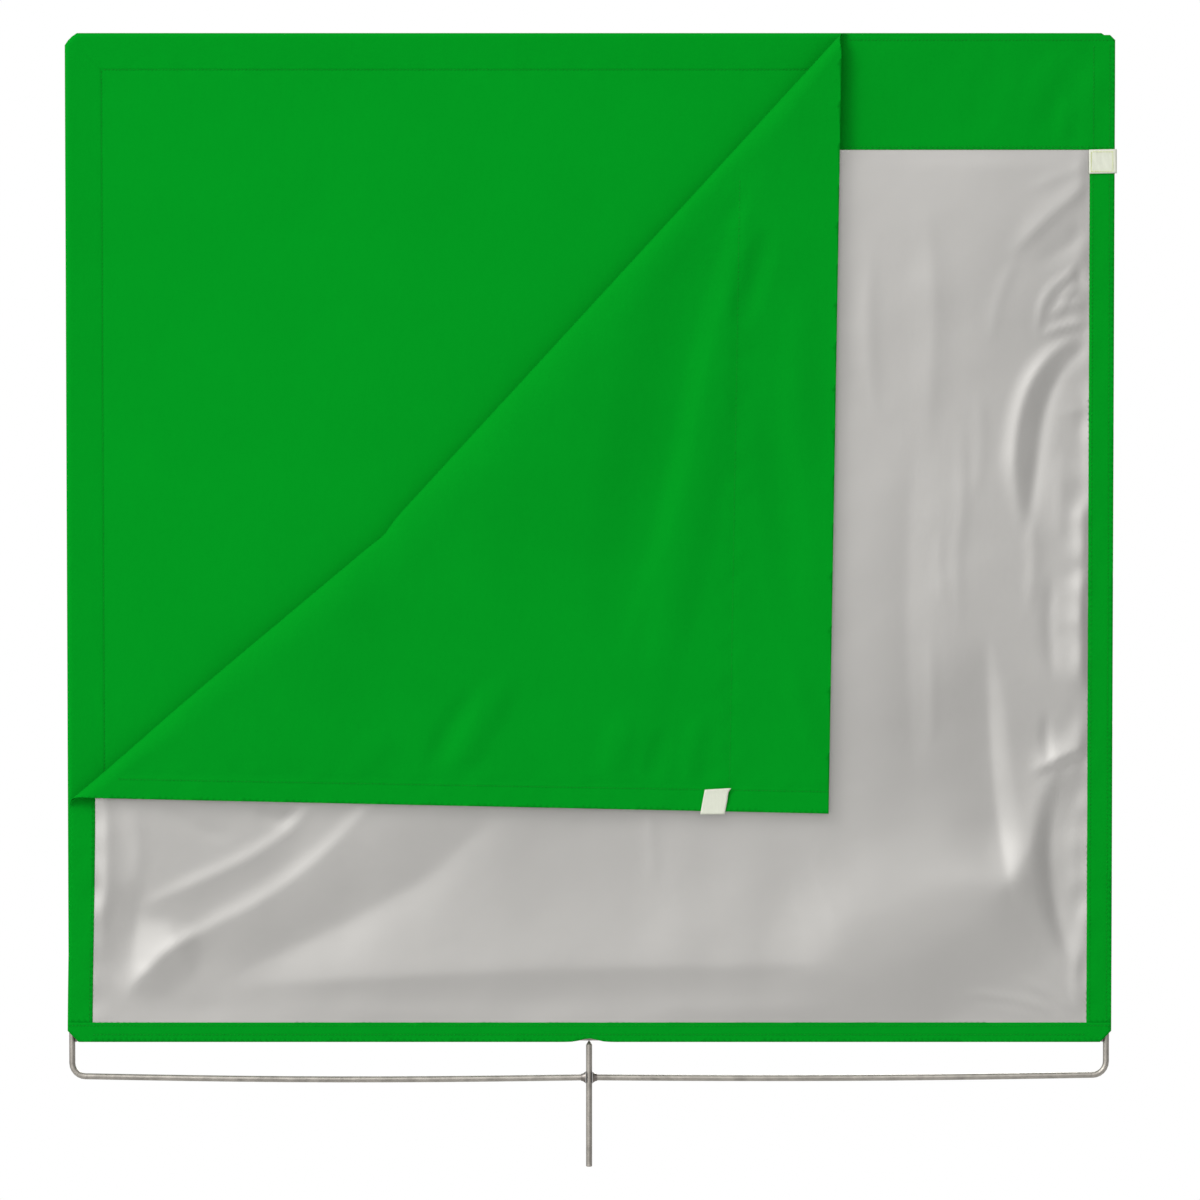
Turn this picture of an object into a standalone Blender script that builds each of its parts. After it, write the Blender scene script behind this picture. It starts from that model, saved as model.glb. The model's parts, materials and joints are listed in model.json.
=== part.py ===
"""Fabric screen on a bent rod frame, with a pin mount and a front flap that lets down.

X runs to the right, Y to the back and Z up, in metres. The origin is the centre of the mounting
pin's lower end face. The flap is hinged along its bottom edge, and its upper-left corner is folded
forward about a slanting crease. Pieces of that corner are laid out flat, as cut, and their parent
empty then turns them over the fold.
"""
import math

import bmesh
import bpy
from mathutils import Quaternion, Vector

MM = 0.001
GAP = 0.3 * MM  # between pieces that touch

# Steel frame
ROD_RADIUS = 3.55 * MM
ROD_SIDES = 24
BEND_RADIUS = 15.7 * MM
BEND_STEPS = 6
FRAME_HEIGHT = 1219.2 * MM  # outside of the top rod to outside of the bottom bar, 48 in
HALF_WIDTH = 602.0 * MM  # pin axis to upright axis, at the bottom
SPLAY = 4.8 * MM  # how much further out each upright stands at the top
BAR_Z = 104.0 * MM  # bottom bar axis, where it meets the pin
BAR_STEPS = 10
BAR_RISE = {-1: 1.2 * MM, 1: 2.9 * MM}  # bar end above its middle, left and right
BAR_SAG = {-1: 2.7 * MM, 1: 1.4 * MM}  # bow of each half
CROSSBAR_Z = 150.4 * MM
TOP_Z = BAR_Z + FRAME_HEIGHT - 2 * ROD_RADIUS
LEAD = 1.3 * MM  # straight stretch of an upright's rod beyond each bend

# Mounting pin
PIN_CHAMFER = 0.8 * MM
PIN_RING_Z = 25.0 * MM  # shallow ring turned in the pin
PIN_RING_DEPTH = 0.2 * MM
PIN_SHOULDER_Z = CROSSBAR_Z - 8.2 * MM  # the pin's upper end tapers from here

# Weld beads
PIN_WELD_LENGTH = 5.6 * MM
PIN_WELD_RADIUS = 7.2 * MM
CROSSBAR_WELD_LENGTH = 4.8 * MM
CROSSBAR_WELD_RADIUS = 5.4 * MM
WELD_FLATNESS = 0.35  # bead height front to back, against its height in the frame's plane
WELD_STEPS = 5

# Fixed screen
CLOTH = 0.7 * MM
SLEEVE_RADIUS = ROD_RADIUS + GAP + CLOTH / 2  # middle of the cloth round a rod
SLEEVE_DEPTH = 38.5 * MM  # rod axis to the sleeve's stitched edge
SLEEVE_ARC_STEPS = 12
PANEL_INSET = 28.0 * MM  # rod axis to the panel's edge, inside the sleeves
SLEEVE_LOW_CUT = 11.0 * MM  # crossbar axis to the side sleeves' lower ends
PIN_NOTCH_HALF = 29.0 * MM
FLAP_CLEARANCE = 1.4 * MM  # front of the sleeves to the back of the flap's tabs
SEAM_HEIGHT = 9.0 * MM

# Flap
PLY = 0.6 * MM
FLAP_BOTTOM = CROSSBAR_Z - 4.7 * MM
FLAP_TOP = TOP_Z + 1.6 * MM
FLAP_HALF_WIDTH = HALF_WIDTH + 5.5 * MM
TOP_BAND = 134.0 * MM
SIDE_BAND = 29.0 * MM
BOTTOM_BAND = 22.7 * MM
BOTTOM_CORNER_CUT = 13.0 * MM
TOP_CORNER_CUT = 6.0 * MM

# Webbing tabs, folded round the flap's edges
TAB_THICKNESS = 0.9 * MM
TAB_WIDTH = 28.0 * MM
TAB_FRONT_LENGTH = 30.0 * MM
TAB_BACK_LENGTH = 28.0 * MM
RIGHT_TAB_DROP = 147.6 * MM  # flap's top edge to the tab's middle
LEFT_TAB_DROP = 133.0 * MM

# Folded corner
FOLD_TOP_LEG = 905.9 * MM  # flap's top-left corner to the fold line, along the top edge
FOLD_LEFT_LEG = 890.6 * MM  # the same, along the left edge
CREASE_RADIUS = 9.0 * MM  # middle of the cloth where it rolls over
CREASE_STEPS = 14

# Layers from back to front. The front is -Y.
SLEEVE_FRONT = -(SLEEVE_RADIUS + CLOTH / 2)
TAB_BACK = SLEEVE_FRONT - FLAP_CLEARANCE
BACKING_BACK = TAB_BACK - TAB_THICKNESS - GAP
BACKING_FRONT = BACKING_BACK - PLY
FACING_BACK = BACKING_FRONT - GAP
FACING_FRONT = FACING_BACK - PLY
FLAP_MIDDLE = (BACKING_BACK + FACING_FRONT) / 2

GREEN = (0.004, 0.290, 0.018)
GREY = (0.520, 0.515, 0.495)
WEBBING = (0.740, 0.755, 0.650)
STEEL = (0.560, 0.540, 0.510)


def clear_scene():
    for item in list(bpy.data.objects):
        bpy.data.objects.remove(item)


def make_material(name, colour, roughness, metallic):
    material = bpy.data.materials.new(name)
    material.use_nodes = True
    shader = material.node_tree.nodes["Principled BSDF"]
    shader.inputs["Base Color"].default_value = (*colour, 1.0)
    shader.inputs["Roughness"].default_value = roughness
    shader.inputs["Metallic"].default_value = metallic
    return material


def make_empty(name, location, rotation=None):
    empty = bpy.data.objects.new(name, None)
    empty.empty_display_size = 0.05
    empty.location = location
    if rotation is not None:
        empty.rotation_mode = "QUATERNION"
        empty.rotation_quaternion = rotation
    bpy.context.collection.objects.link(empty)
    return empty


def make_object(name, points, faces, material, parent=None):
    """Mesh object from points in the screen's frame; a parent's place is taken off them."""
    origin = parent.location if parent else Vector()
    mesh = bpy.data.meshes.new(name)
    mesh.from_pydata([Vector(point) - origin for point in points], [], faces)
    work = bmesh.new()
    work.from_mesh(mesh)
    bmesh.ops.recalc_face_normals(work, faces=work.faces)
    work.to_mesh(mesh)
    work.free()
    mesh.materials.append(material)
    mesh.shade_smooth()
    mesh.set_sharp_from_angle(angle=math.radians(35))
    result = bpy.data.objects.new(name, mesh)
    result.parent = parent
    bpy.context.collection.objects.link(result)
    return result


def bridge(rings, closed_ring=True):
    """Quads between rings of the same length, listed one after another."""
    size = len(rings[0])
    steps = size if closed_ring else size - 1
    faces = []
    for lower, upper in zip(rings, rings[1:]):
        for i in range(steps):
            j = (i + 1) % size
            faces.append((lower[i], lower[j], upper[j], upper[i]))
    return faces


def number_rings(count, size):
    return [list(range(ring * size, (ring + 1) * size)) for ring in range(count)]


def prism(name, outline, front, back, material, parent=None):
    """Flat sheet: an (x, z) outline with its front and back faces at the two Y values."""
    size = len(outline)
    points = [(x, y, z) for y in (front, back) for x, z in outline]
    rings = number_rings(2, size)
    faces = bridge(rings) + [tuple(rings[0]), tuple(rings[1])]
    return make_object(name, points, faces, material, parent)


def rounded_path(corners, radius, steps):
    """Corners in the XZ plane joined by straight runs, with an arc of the radius at each bend."""
    path = [Vector(corners[0])]
    for before, corner, after in zip(corners, corners[1:], corners[2:]):
        corner = Vector(corner)
        inward = (Vector(before) - corner).normalized()
        outward = (Vector(after) - corner).normalized()
        half = inward.angle(outward) / 2
        centre = corner + (inward + outward).normalized() * radius / math.sin(half)
        first = corner + inward * radius / math.tan(half) - centre
        last = corner + outward * radius / math.tan(half) - centre
        path += [centre + first.slerp(last, i / steps).normalized() * radius for i in range(steps + 1)]
    path.append(Vector(corners[-1]))
    return path


def rod(name, path, material):
    """Round rod along a path of (x, z) points."""
    points = []
    for i, place in enumerate(path):
        run = (path[min(i + 1, len(path) - 1)] - path[max(i - 1, 0)]).normalized()
        across = Vector((-run.y, 0.0, run.x))
        middle = Vector((place.x, 0.0, place.y))
        for side in range(ROD_SIDES):
            angle = 2 * math.pi * side / ROD_SIDES
            around = across * math.cos(angle) + Vector((0.0, math.sin(angle), 0.0))
            points.append(middle + around * ROD_RADIUS)
    rings = number_rings(len(path), ROD_SIDES)
    return make_object(name, points, bridge(rings) + [tuple(rings[0]), tuple(rings[-1])], material)


def upright_x(side, z):
    return side * (HALF_WIDTH + SPLAY * (z - BAR_Z) / (TOP_Z - BAR_Z))


def make_uprights(steel):
    for side, name in ((-1, "left_rod"), (1, "right_rod")):
        low = BAR_Z + BAR_RISE[side]
        top_x = side * (HALF_WIDTH + SPLAY)
        reach = side * (BEND_RADIUS + LEAD)
        corners = [
            (side * HALF_WIDTH - reach, low),
            (side * HALF_WIDTH, low),
            (top_x, TOP_Z),
            (top_x - reach, TOP_Z),
        ]
        rod(name, rounded_path(corners, BEND_RADIUS, BEND_STEPS), steel)


def make_bars(steel):
    top_end = HALF_WIDTH + SPLAY - BEND_RADIUS - LEAD - GAP
    rod("top_rod", [Vector((-top_end, TOP_Z)), Vector((top_end, TOP_Z))], steel)
    cross_end = HALF_WIDTH - ROD_RADIUS - GAP
    rod("crossbar", [Vector((-cross_end, CROSSBAR_Z)), Vector((cross_end, CROSSBAR_Z))], steel)
    near, far = ROD_RADIUS + GAP, HALF_WIDTH - BEND_RADIUS - LEAD - GAP
    for side, name in ((-1, "bottom_bar_left"), (1, "bottom_bar_right")):
        path = []
        for step in range(BAR_STEPS + 1):
            part = step / BAR_STEPS
            height = BAR_RISE[side] * part**2 - BAR_SAG[side] * math.sin(math.pi * part)
            path.append(Vector((side * (near + (far - near) * part), BAR_Z + height)))
        rod(name, path, steel)


def make_pin(steel):
    ring = PIN_RING_DEPTH
    profile = [
        (0.0, ROD_RADIUS - PIN_CHAMFER),
        (PIN_CHAMFER, ROD_RADIUS),
        (PIN_RING_Z - ring, ROD_RADIUS),
        (PIN_RING_Z, ROD_RADIUS - ring),
        (PIN_RING_Z + ring, ROD_RADIUS),
        (PIN_SHOULDER_Z, ROD_RADIUS),
        (CROSSBAR_Z - ROD_RADIUS - GAP, PIN_CHAMFER),
    ]
    points = []
    for z, radius in profile:
        for side in range(ROD_SIDES):
            angle = 2 * math.pi * side / ROD_SIDES
            points.append((radius * math.cos(angle), radius * math.sin(angle), z))
    rings = number_rings(len(profile), ROD_SIDES)
    make_object("mounting_pin", points, bridge(rings) + [tuple(rings[0]), tuple(rings[-1])], steel)


def weld(name, x, z, side, length, radius, steel):
    """Concave bead round a rod along X, widest at x and thinning towards side."""
    thin = ROD_RADIUS + 2 * GAP
    points = []
    for step in range(WELD_STEPS + 1):
        part = step / WELD_STEPS
        tall = thin + (radius - thin) * (1 - part) ** 2
        deep = thin + (tall - thin) * WELD_FLATNESS
        for corner in range(ROD_SIDES):
            angle = 2 * math.pi * corner / ROD_SIDES
            points.append((x + side * length * part, deep * math.cos(angle), z + tall * math.sin(angle)))
    for part in (1.0, 0.0):
        for corner in range(ROD_SIDES):
            angle = 2 * math.pi * corner / ROD_SIDES
            inner = ROD_RADIUS + GAP
            points.append((x + side * length * part, inner * math.cos(angle), z + inner * math.sin(angle)))
    rings = number_rings(WELD_STEPS + 3, ROD_SIDES)
    make_object(name, points, bridge(rings + [rings[0]]), steel)


def make_welds(steel):
    for side, name in ((-1, "left"), (1, "right")):
        at_pin = side * (ROD_RADIUS + GAP)
        weld("pin_weld_" + name, at_pin, BAR_Z, side, PIN_WELD_LENGTH, PIN_WELD_RADIUS, steel)
        at_upright = side * (abs(upright_x(side, CROSSBAR_Z)) - ROD_RADIUS - GAP)
        length, radius = CROSSBAR_WELD_LENGTH, CROSSBAR_WELD_RADIUS
        weld("crossbar_weld_" + name, at_upright, CROSSBAR_Z, -side, length, radius, steel)


def hairpin(bend_at):
    """Sleeve section as (inboard, depth) pairs for the outside and the inside of the cloth.

    The cloth leaves the panel's front, goes round the rod at the origin and returns to its back.
    """
    tail = Vector((SLEEVE_DEPTH, CLOTH + GAP))
    start = tail.to_2d().angle_signed(Vector((1, 0))) + math.acos(SLEEVE_RADIUS / tail.length)
    arc = [start + (2 * math.pi - 2 * start) * i / SLEEVE_ARC_STEPS for i in range(SLEEVE_ARC_STEPS + 1)]
    skins = []
    for offset in (CLOTH / 2, -CLOTH / 2):
        radius = SLEEVE_RADIUS + offset
        curve = [Vector((radius * math.cos(angle), radius * math.sin(angle))) for angle in arc]
        normal = Vector((math.cos(start), math.sin(start)))
        end = tail + normal * offset
        knee = curve[0] + (end - curve[0]) * (bend_at - curve[0].x) / (end.x - curve[0].x)
        half = [end, knee]
        mirrored = [Vector((point.x, -point.y)) for point in reversed(half)]
        skins.append(half + curve + mirrored)
    return skins


def sleeve(name, start, end, inboard, cut, material):
    """Sleeve round the rod axis from start to end, mitred at 45 degrees beyond the cut length."""
    run = (end - start).normalized()
    length = (end - start).length
    depth = Vector((0, -1, 0))
    outer, inner = hairpin(cut)
    size = len(outer)
    points = []
    for at_end in (False, True):
        for skin in (outer, inner):
            for point in skin:
                trim = max(cut, point.x) + GAP
                along = length - trim if at_end else trim
                points.append(start + run * along + inboard * point.x + depth * point.y)
    low_out, low_in, high_out, high_in = number_rings(4, size)
    loops = [low_out, high_out, high_in, low_in, low_out]
    faces = bridge(loops, closed_ring=False)
    faces.append((low_out[0], high_out[0], high_in[0], low_in[0]))
    faces.append((low_out[-1], high_out[-1], high_in[-1], low_in[-1]))
    return make_object(name, points, faces, material)


def make_sleeves(cloth):
    low = [Vector((upright_x(side, CROSSBAR_Z), 0, CROSSBAR_Z)) for side in (-1, 1)]
    high = [Vector((upright_x(side, TOP_Z), 0, TOP_Z)) for side in (-1, 1)]
    cut = BEND_RADIUS + LEAD
    sleeve("sleeve_left", low[0], high[0], Vector((1, 0, 0)), cut, cloth)
    sleeve("sleeve_right", low[1], high[1], Vector((-1, 0, 0)), cut, cloth)
    sleeve("sleeve_top", high[0], high[1], Vector((0, 0, -1)), cut, cloth)
    bottom = sleeve("sleeve_bottom", low[0], low[1], Vector((0, 0, 1)), SLEEVE_LOW_CUT, cloth)
    notch_for_pin(bottom)


def notch_for_pin(sleeve_object):
    reach = 2 * SLEEVE_RADIUS
    top = CROSSBAR_Z - ROD_RADIUS / 2
    half = PIN_NOTCH_HALF
    outline = [(-half, top - reach), (half, top - reach), (half, top), (-half, top)]
    cutter = prism("notch_cutter", outline, -reach, reach, sleeve_object.data.materials[0])
    cutter.hide_render = True
    cutter.display_type = "WIRE"
    cut = sleeve_object.modifiers.new("pin_notch", "BOOLEAN")
    cut.operation = "DIFFERENCE"
    cut.solver = "EXACT"
    cut.object = cutter


def make_screen(cloth):
    make_sleeves(cloth)
    low, high = CROSSBAR_Z + PANEL_INSET, TOP_Z - PANEL_INSET
    corners = ((-1, low), (1, low), (1, high), (-1, high))
    outline = [(upright_x(side, z) - side * PANEL_INSET, z) for side, z in corners]
    prism("screen_panel", outline, -CLOTH / 2, CLOTH / 2, cloth)
    ends = HALF_WIDTH - 2 * BOTTOM_CORNER_CUT
    low = FLAP_BOTTOM + 0.5 * MM
    outline = [(-ends, low), (ends, low), (ends, low + SEAM_HEIGHT), (-ends, low + SEAM_HEIGHT)]
    prism("hinge_seam", outline, BACKING_BACK + GAP, SLEEVE_FRONT - GAP, cloth)


def flap_x(side, z):
    return side * (FLAP_HALF_WIDTH + SPLAY * (z - FLAP_BOTTOM) / (FLAP_TOP - FLAP_BOTTOM))


def flap_outline(low, high, inset=0.0):
    """Four corners between two heights, both sides that far in from the flap's edges."""
    places = ((-1, low), (1, low), (1, high), (-1, high))
    return [(flap_x(side, z) - side * inset, z) for side, z in places]


def side_strip(side, low, high):
    """Side band between two heights."""
    places = ((0, low), (SIDE_BAND, low), (SIDE_BAND, high), (0, high))
    return [(flap_x(side, z) - side * inset, z) for inset, z in places]


def cut_corner(outline, index, size):
    """Replaces one corner of an outline by two points that far along its edges."""
    corner = Vector(outline[index])
    before = Vector(outline[index - 1]) - corner
    after = Vector(outline[(index + 1) % len(outline)]) - corner
    points = [tuple(corner + edge.normalized() * size) for edge in (before, after)]
    return outline[:index] + points + outline[index + 1 :]


def clip(outline, normal, limit):
    """The part of an outline whose distance along the normal is at most the limit."""
    kept = []
    for i, point in enumerate(outline):
        here, last = Vector(point), Vector(outline[i - 1])
        inside, was_inside = here.dot(normal) <= limit, last.dot(normal) <= limit
        if inside != was_inside:
            share = (limit - last.dot(normal)) / (here.dot(normal) - last.dot(normal))
            kept.append(tuple(last.lerp(here, share)))
        if inside:
            kept.append(point)
    return kept


class Fold:
    """The slanting fold line, in the flap's (x, z) plane, with its normal to the upper left."""

    corner = Vector((flap_x(-1, FLAP_TOP), FLAP_TOP))
    low_end = corner - Vector((0, FOLD_LEFT_LEG))
    high_end = corner + Vector((FOLD_TOP_LEG, 0))
    run = (high_end - low_end).normalized()
    normal = Vector((-run.y, run.x))
    line = high_end.dot(normal)
    half_crease = math.pi * CREASE_RADIUS / 2  # half of the cloth taken up by the crease
    axis_depth = FLAP_MIDDLE - CREASE_RADIUS
    length = (high_end - low_end).length

    @classmethod
    def point(cls, along, out, depth):
        """Place by distance along the fold, out past the fold line and Y."""
        flat = cls.low_end + cls.run * along + cls.normal * out
        return Vector((flat.x, depth, flat.y))

    @classmethod
    def on_flap(cls, outline):
        return clip(outline, cls.normal, cls.line - cls.half_crease - GAP)

    @classmethod
    def on_corner(cls, outline):
        return clip(outline, -cls.normal, -(cls.line + cls.half_crease + GAP))


def tab(name, side, drop, material, parent):
    """Tape folded round the flap's side edge, its two legs running inboard."""
    z = FLAP_TOP - drop
    edge = flap_x(side, z)
    front, back = FACING_FRONT - GAP, BACKING_BACK + GAP
    skin = TAB_THICKNESS
    section = [
        (-TAB_FRONT_LENGTH, front),
        (-TAB_FRONT_LENGTH, front - skin),
        (GAP + skin, front - skin),
        (GAP + skin, back + skin),
        (-TAB_BACK_LENGTH, back + skin),
        (-TAB_BACK_LENGTH, back),
        (GAP, back),
        (GAP, front),
    ]
    ends = (z - TAB_WIDTH / 2, z + TAB_WIDTH / 2)
    points = [(edge + side * out, depth, height) for height in ends for out, depth in section]
    rings = number_rings(2, len(section))
    faces = bridge(rings)
    for ring in rings:
        faces += [tuple(ring[i] for i in quad) for quad in ((0, 1, 2, 7), (2, 3, 6, 7), (3, 4, 5, 6))]
    make_object(name, points, faces, material, parent)


def make_crease(green, parent):
    """Half tube along the fold, drawn as it stands when the corner is laid flat."""
    half_ply = (BACKING_BACK - FACING_FRONT) / 2
    start = CREASE_RADIUS
    end = Fold.length - CREASE_RADIUS - Fold.half_crease * 2
    points = []
    for along in (start, end):
        for radius in (CREASE_RADIUS + half_ply, CREASE_RADIUS - half_ply):
            for step in range(CREASE_STEPS + 1):
                angle = math.pi * step / CREASE_STEPS
                out = Fold.half_crease - radius * math.sin(angle)
                depth = Fold.axis_depth + radius * math.cos(angle)
                points.append(Fold.point(along, out, depth))
    low_out, low_in, high_out, high_in = number_rings(4, CREASE_STEPS + 1)
    faces = bridge([low_out, high_out, high_in, low_in, low_out], closed_ring=False)
    faces.append((low_out[0], high_out[0], high_in[0], low_in[0]))
    faces.append((low_out[-1], high_out[-1], high_in[-1], low_in[-1]))
    make_object("corner_crease", points, faces, green, parent)


def make_flap(green, grey, webbing):
    hinge = make_empty("flap_hinge", Vector((0, FLAP_MIDDLE, FLAP_BOTTOM)))
    middle = Fold.point(Fold.length / 2, 0, Fold.axis_depth)
    turn = Quaternion(Vector((Fold.run.x, 0, Fold.run.y)), math.pi)
    fold = make_empty("corner_fold", middle, turn)

    band_low, band_high = FLAP_BOTTOM + BOTTOM_BAND, FLAP_TOP - TOP_BAND
    backing = cut_corner(flap_outline(FLAP_BOTTOM, FLAP_TOP), 2, TOP_CORNER_CUT)
    for corner in (1, 0):
        backing = cut_corner(backing, corner, BOTTOM_CORNER_CUT)
    top_band = cut_corner(flap_outline(band_high + GAP, FLAP_TOP), 2, TOP_CORNER_CUT)
    bottom_band = flap_outline(FLAP_BOTTOM, band_low)
    for corner in (1, 0):
        bottom_band = cut_corner(bottom_band, corner, BOTTOM_CORNER_CUT)
    facing = flap_outline(band_low + GAP, band_high, SIDE_BAND + GAP)
    left_band = side_strip(-1, band_low + GAP, band_high)
    right_band = side_strip(1, band_low + GAP, band_high)

    split = (
        ("backing", backing, BACKING_FRONT, BACKING_BACK, green),
        ("facing", facing, FACING_FRONT, FACING_BACK, grey),
        ("top_band", top_band, FACING_FRONT, FACING_BACK, green),
        ("left_band", left_band, FACING_FRONT, FACING_BACK, green),
    )
    for name, outline, front, back, material in split:
        prism("flap_" + name, Fold.on_flap(outline), front, back, material, hinge)
        prism("corner_" + name, Fold.on_corner(outline), front, back, material, fold)
    prism("flap_right_band", right_band, FACING_FRONT, FACING_BACK, green, hinge)
    prism("flap_bottom_band", bottom_band, FACING_FRONT, FACING_BACK, green, hinge)
    tab("right_tab", 1, RIGHT_TAB_DROP, webbing, hinge)
    tab("left_tab", -1, LEFT_TAB_DROP, webbing, fold)
    make_crease(green, fold)


def main():
    clear_scene()
    steel = make_material("steel", STEEL, 0.38, 1.0)
    green = make_material("green_cloth", GREEN, 0.80, 0.0)
    grey = make_material("grey_coated_cloth", GREY, 0.55, 0.0)
    webbing = make_material("webbing", WEBBING, 0.90, 0.0)
    make_uprights(steel)
    make_bars(steel)
    make_pin(steel)
    make_welds(steel)
    make_screen(green)
    make_flap(green, grey, webbing)


main()
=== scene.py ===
"""Looks of a square fabric screen on a steel rod frame with a mounting pin.

A green cloth is stretched over the frame. A second, two-layer flap (green behind, satin grey in front, with
green bands round it) is sewn along the bottom, and its upper left corner is folded forward over itself.
All sizes are in metres, in the frame of the CAD part: x to the right, z up, and -y towards the camera.
"""

import json
import math

import bmesh
import bpy
import numpy as np
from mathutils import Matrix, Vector


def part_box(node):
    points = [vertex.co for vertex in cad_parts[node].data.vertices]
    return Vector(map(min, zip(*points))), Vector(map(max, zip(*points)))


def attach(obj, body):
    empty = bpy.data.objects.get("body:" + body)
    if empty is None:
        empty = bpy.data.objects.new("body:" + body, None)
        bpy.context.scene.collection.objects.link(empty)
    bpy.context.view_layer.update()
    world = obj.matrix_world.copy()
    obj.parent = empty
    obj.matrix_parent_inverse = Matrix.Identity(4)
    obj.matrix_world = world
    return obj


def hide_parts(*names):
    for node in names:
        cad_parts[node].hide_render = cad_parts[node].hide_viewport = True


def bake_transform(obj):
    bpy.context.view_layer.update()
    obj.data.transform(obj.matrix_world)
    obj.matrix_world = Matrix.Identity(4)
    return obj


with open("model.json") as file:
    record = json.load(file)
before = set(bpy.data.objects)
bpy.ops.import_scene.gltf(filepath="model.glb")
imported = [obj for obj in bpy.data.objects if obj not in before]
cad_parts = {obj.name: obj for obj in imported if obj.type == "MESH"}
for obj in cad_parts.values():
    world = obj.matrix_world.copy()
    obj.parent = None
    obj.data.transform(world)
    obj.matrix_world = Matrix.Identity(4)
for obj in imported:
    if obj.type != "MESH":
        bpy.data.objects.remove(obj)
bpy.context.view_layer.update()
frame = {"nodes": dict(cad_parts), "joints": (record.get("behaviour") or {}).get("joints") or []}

CELL = 0.005
STITCH_PITCH = 0.0042
STITCH_LENGTH = 0.0031
STITCH_RADIUS = 0.00032
RIDGE_ROUND = 0.10

# The flap's flat pattern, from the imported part.
TOP_LOW, TOP_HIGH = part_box("flap_top_band")
BOTTOM_LOW, BOTTOM_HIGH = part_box("flap_bottom_band")
FACING_LOW, FACING_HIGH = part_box("flap_facing")
CORNER_LOW, CORNER_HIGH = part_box("corner_backing")
FLAP_TOP = TOP_HIGH.z
FLAP_BOTTOM = BOTTOM_LOW.z
FLAP_HALF_TOP = TOP_HIGH.x
FLAP_HALF_BOTTOM = BOTTOM_HIGH.x
FLAP_Y = (FACING_LOW.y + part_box("flap_backing")[1].y) / 2
TOP_BAND = TOP_HIGH.z - TOP_LOW.z
SIDE_BAND = 0.029
BOTTOM_BAND = BOTTOM_HIGH.z - BOTTOM_LOW.z
BOTTOM_CUT = 0.013
TOP_CUT = 0.006
BAND_SEAM = TOP_BAND - 0.018

# The cloth's lower edge arches over the mounting pin: height, half width, and how far up it fades.
ARCH_HEIGHT = 0.0040
ARCH_WIDTH = 0.013
ARCH_FADE = 0.012
SCREEN_ARCH = 1.6

# The fold line, from the joint that lets the corner be laid back.
FOLD = next(j for j in frame["joints"] if j["name"] == "corner_fold")
FOLD_X, FOLD_Y, FOLD_Z = FOLD["pos_m"]
RUN_X, RUN_Z = -FOLD["axis"][0], -FOLD["axis"][2]
FOLD_HALF = 0.6352

# The soft roll along the fold line. Its apex bows away from the straight line, with one kink.
BOW_SHARES = (0.0, 0.365, 0.380, 0.398, 0.99, 1.0)
BOW_DEPTHS = (0.0035, 0.0405, 0.0432, 0.0384, 0.0005, 0.0)
ROLL_BACK_SIDE = 0.009
ROLL_BACK = FLAP_Y - FOLD_Y
ROLL_FRONT = 0.0092
ROLL_FRONT_EXTRA = 0.0032
ROLL_FRONT_SIDE = (0.012, 0.050)
BACK_ROWS = 6
FRONT_ROWS = 14

# The fold's left end is drawn to the right by this much, fading to the right and up and down.
LEFT_PULL = 0.0048
LEFT_PULL_WIDTH = 0.16
LEFT_PULL_HEIGHT = 0.20
LEFT_PULL_Z = FOLD_Z - FOLD_HALF * RUN_Z

SWELL_ROOM = ROLL_BACK - 0.0026

# Layers across the flap's thickness, positive towards its green back.
BACKING_LIFT = 0.00045
FACING_LIFT = -0.00045
BAND_LIFT = -0.00115
CLOTH = 0.0006

# The main cloth.
ROD_RADIUS = (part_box("top_rod")[1].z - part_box("top_rod")[0].z) / 2
SLEEVE_RADIUS = ROD_RADIUS + 0.0008
SCREEN_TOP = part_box("sleeve_top")[1].z
SCREEN_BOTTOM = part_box("sleeve_bottom")[0].z
SCREEN_HALF_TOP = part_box("sleeve_top")[1].x + 0.0215
SCREEN_HALF_BOTTOM = 0.6062
SCREEN_CUT = 0.0142
SCREEN_CUT_BULGE = 0.0013
SLEEVE_SEAM = 0.0427
SCREEN_LEVEL = 0.00035
SCREEN_GRID_INSET = 0.0515


# ---------------------------------------------------------------- materials

GREEN = (0.0001, 0.272, 0.0122)
WEAVE_PITCH = 0.0007


def new_material(name):
    material = bpy.data.materials.new(name)
    material.use_nodes = True
    tree = material.node_tree
    shader = next(n for n in tree.nodes if n.type == "BSDF_PRINCIPLED")
    return material, tree, shader


def connect(tree, socket, value):
    """Sets a socket to a number or colour, or links it to another node's output."""
    if isinstance(value, bpy.types.NodeSocket):
        tree.links.new(value, socket)
    else:
        socket.default_value = value


def dress(tree, shader, **values):
    """Connects the shader's sockets, named with underscores for spaces."""
    for key, value in values.items():
        connect(tree, shader.inputs[key.replace("_", " ")], value)


def node(tree, kind, **values):
    """A new node. Names that start with in_ are for its sockets, the others for its own settings."""
    made = tree.nodes.new(kind)
    for key, value in values.items():
        if key.startswith("in_"):
            connect(tree, made.inputs[key[3:].replace("_", " ")], value)
        else:
            setattr(made, key, value)
    return made


def position(tree):
    return node(tree, "ShaderNodeTexCoord").outputs["Object"]


def noise(tree, scale, detail=3.0, roughness=0.55, stretch=(1, 1, 1)):
    mapping = node(tree, "ShaderNodeMapping", in_Vector=position(tree), in_Scale=stretch)
    made = node(tree, "ShaderNodeTexNoise", in_Vector=mapping.outputs["Vector"], in_Scale=scale,
                in_Detail=detail, in_Roughness=roughness)
    return made.outputs["Fac"]


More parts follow.
